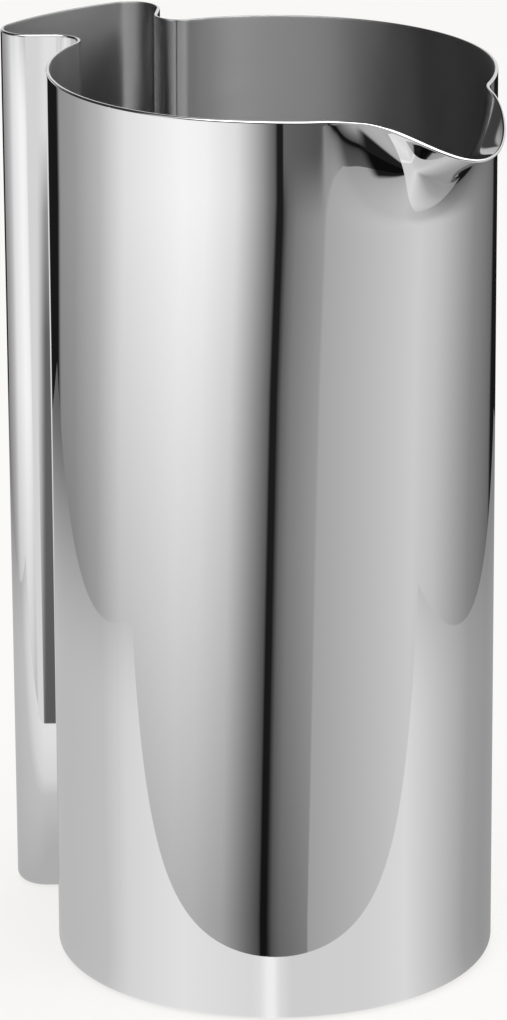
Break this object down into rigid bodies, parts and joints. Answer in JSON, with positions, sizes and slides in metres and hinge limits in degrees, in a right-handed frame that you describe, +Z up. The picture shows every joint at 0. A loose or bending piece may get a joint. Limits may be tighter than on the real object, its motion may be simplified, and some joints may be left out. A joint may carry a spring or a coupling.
{
  "type": "water carafe",
  "caption": "Tall open water carafe of polished sheet steel with a pressed pouring lip and a hollow folded grip that grows out of the round body, with a finger groove along each side.",
  "frame": {"origin": "on the round body's axis, in the plane of the flat underside", "axes": "+Z up along the body's axis, +X towards the tip of the pouring lip, -X towards the grip"},
  "size_m": [0.146, 0.104, 0.2155],
  "materials": {
    "body_steel": "stainless sheet, mirror polished outside, satin inside",
    "grip_steel": "stainless sheet, mirror polished outside, satin inside",
    "base_steel": "stainless sheet, polished outside, satin floor inside"
  },
  "bodies": {
    "root": {"body_wall": "body_steel", "grip_wall": "grip_steel", "base_pan": "base_steel"}
  },
  "joints": []
}
